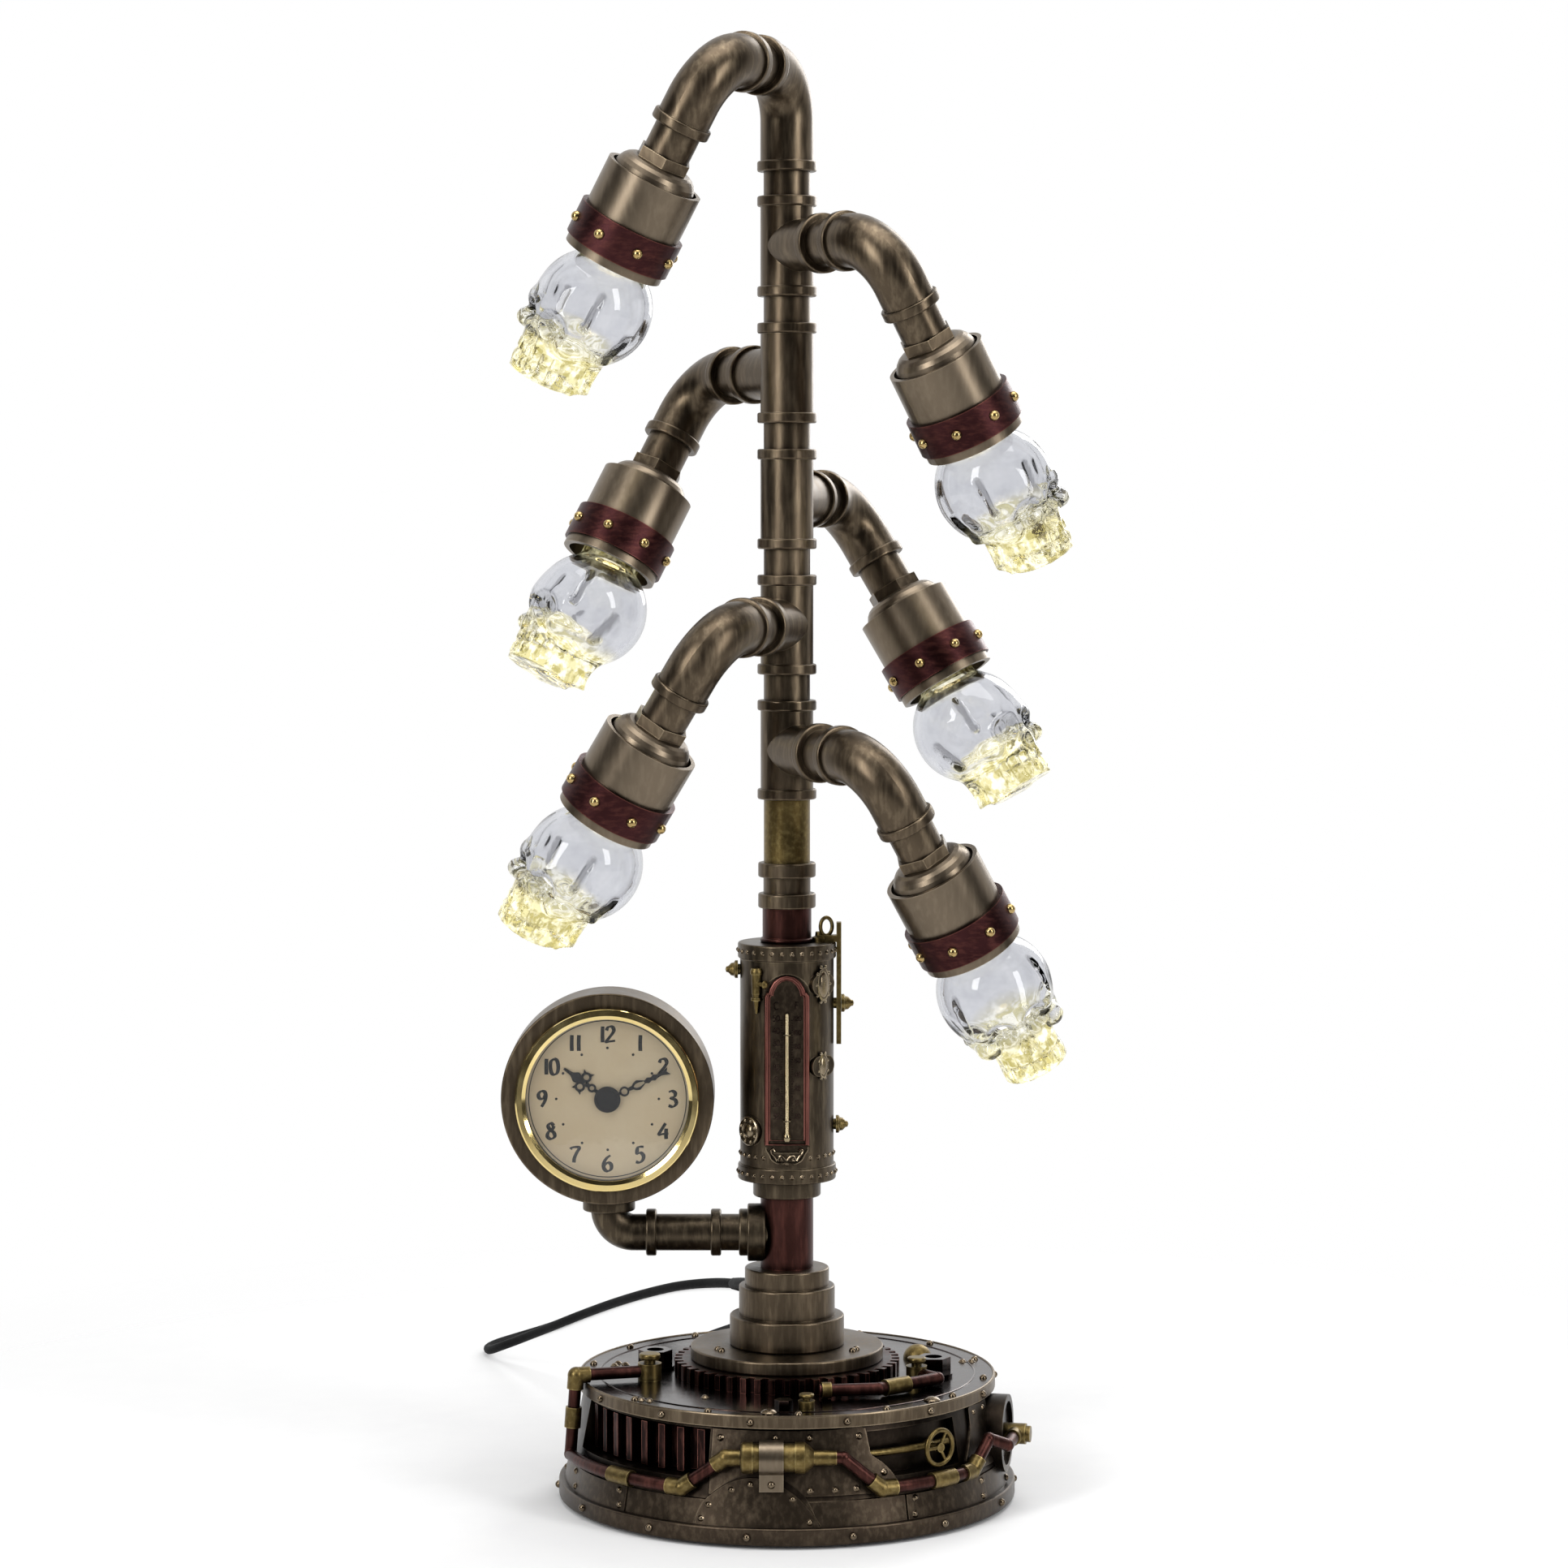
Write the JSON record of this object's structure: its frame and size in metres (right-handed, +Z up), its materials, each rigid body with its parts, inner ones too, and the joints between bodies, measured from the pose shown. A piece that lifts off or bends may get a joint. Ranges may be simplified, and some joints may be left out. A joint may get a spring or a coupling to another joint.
{
  "type": "pipe desk lamp with clock",
  "caption": "Aged bronze pipe desk lamp on a round riveted base, with elbow arms that hold glass skull lamps, a clock on a side pipe, a thermometer housing and a corded switch.",
  "frame": {"origin": "on the table under the middle of the round base, on the axis of the pole", "axes": "+Z up along the pole, -Y to the front that the clock faces, -X to the side with the clock"},
  "size_m": [0.2813, 0.5769, 0.6414],
  "materials": {
    "pads": "matte",
    "cast_bronze": "aged satin bronze",
    "dark_bronze": "dark glossy bronze",
    "steel_parts": "brushed",
    "ballast": "raw",
    "aged_copper": "dry-brushed copper red",
    "aged_brass": "dry-brushed brass",
    "gold_trim": "polished gold",
    "clear_glass": "clear thick glass",
    "white_lamp": "diffuse",
    "dial_card": "printed card",
    "black_hands": "satin black",
    "black_plastic": "satin moulded",
    "black_cord": "matte"
  },
  "bodies": {
    "lamp": {"foot_pads": "pads", "bottom_plate": "dark_bronze", "bottom_screws": "steel_parts", "ballast_weight": "ballast", "base_skirt": "cast_bronze", "window_gear": "dark_bronze", "base_lid": "dark_bronze", "tie_tube": "steel_parts", "tie_nuts": "steel_parts", "ring_gear": "dark_bronze", "disc_flange": "cast_bronze", "neck_collar": "cast_bronze", "lid_nuts": "dark_bronze", "copper_pipes": "aged_copper", "brass_fittings": "aged_brass", "pressure_cylinder": "aged_brass", "cylinder_strap": "cast_bronze", "handwheel": "aged_brass", "base_rivets": "gold_trim", "lower_stem": "aged_copper", "housing_collar": "cast_bronze", "gauge_housing": "cast_bronze", "thermometer_frame": "dark_bronze", "thermometer_tube": "clear_glass", "housing_fittings": "aged_brass", "upper_stem": "aged_copper", "stem_coupling": "cast_bronze", "brass_stem": "aged_brass", "pole_tees": "cast_bronze", "pipe_nipples": "dark_bronze", "top_elbow": "cast_bronze", "arm_elbows": "cast_bronze", "hex_nuts": "cast_bronze", "cup_domes": "cast_bronze", "lamp_cups": "cast_bronze", "copper_bands": "aged_copper", "band_rivets": "gold_trim", "led_modules": "white_lamp", "clock_case": "cast_bronze", "clock_pipe": "cast_bronze", "cord_gland": "black_plastic", "cord_lead": "black_cord", "cord_run": "black_cord", "cord_coil": "black_cord", "cord_tail": "black_cord", "switch_body": "black_plastic", "power_plug": "black_plastic"},
    "clock_insert": {"clock_bezel": "gold_trim", "clock_lens": "clear_glass", "clock_dial": "dial_card", "clock_movement": "steel_parts"},
    "minute_hand": {"minute_hand": "black_hands"},
    "hour_hand": {"hour_hand": "black_hands"},
    "rocker": {"switch_rocker": "black_plastic"},
    "skull_1": {"glass_skull_1": "clear_glass"},
    "skull_2": {"glass_skull_2": "clear_glass"},
    "skull_3": {"glass_skull_3": "clear_glass"},
    "skull_4": {"glass_skull_4": "clear_glass"},
    "skull_5": {"glass_skull_5": "clear_glass"},
    "skull_6": {"glass_skull_6": "clear_glass"}
  },
  "joints": [
    {"name": "clock_insert_pull", "type": "slide", "parent": "lamp", "child": "clock_insert", "axis": [0, -1, 0], "range_m": [0, 0.022]},
    {"name": "minute_turn", "type": "hinge", "parent": "clock_insert", "child": "minute_hand", "pos_m": [-0.079, 0, 0.179], "axis": [0, 1, 0], "continuous": true},
    {"name": "hour_turn", "type": "hinge", "parent": "clock_insert", "child": "hour_hand", "pos_m": [-0.079, 0, 0.179], "axis": [0, 1, 0], "continuous": true},
    {"name": "skull_1_turn", "type": "hinge", "parent": "lamp", "child": "skull_1", "pos_m": [-0.03005, -0.06444, 0.6284], "axis": [-0.4532, 0.2113, -0.866], "continuous": true},
    {"name": "skull_2_turn", "type": "hinge", "parent": "lamp", "child": "skull_2", "pos_m": [0.03852, -0.0654, 0.55245], "axis": [0.4308, 0.2538, -0.866], "continuous": true},
    {"name": "skull_3_turn", "type": "hinge", "parent": "lamp", "child": "skull_3", "pos_m": [-0.03795, 0.06573, 0.49745], "axis": [-0.433, -0.25, -0.866], "continuous": true},
    {"name": "skull_4_turn", "type": "hinge", "parent": "lamp", "child": "skull_4", "pos_m": [0.02471, 0.07176, 0.44245], "axis": [0.494, -0.1701, -0.8526], "continuous": true},
    {"name": "skull_5_turn", "type": "hinge", "parent": "lamp", "child": "skull_5", "pos_m": [-0.02966, -0.06987, 0.38745], "axis": [-0.4946, 0.2099, -0.8434], "continuous": true},
    {"name": "skull_6_turn", "type": "hinge", "parent": "lamp", "child": "skull_6", "pos_m": [0.03622, -0.0667, 0.33245], "axis": [0.4526, 0.2458, -0.8572], "continuous": true},
    {"name": "rocker_tip", "type": "hinge", "parent": "lamp", "child": "rocker", "pos_m": [-0.01365, 0.24785, 0.013], "axis": [0.7071, 0.7071, 0], "range_deg": [-16, 0]}
  ],
  "couplings": [
    {"joint": "hour_turn", "follows": "minute_turn", "ratio": 0.083333}
  ]
}
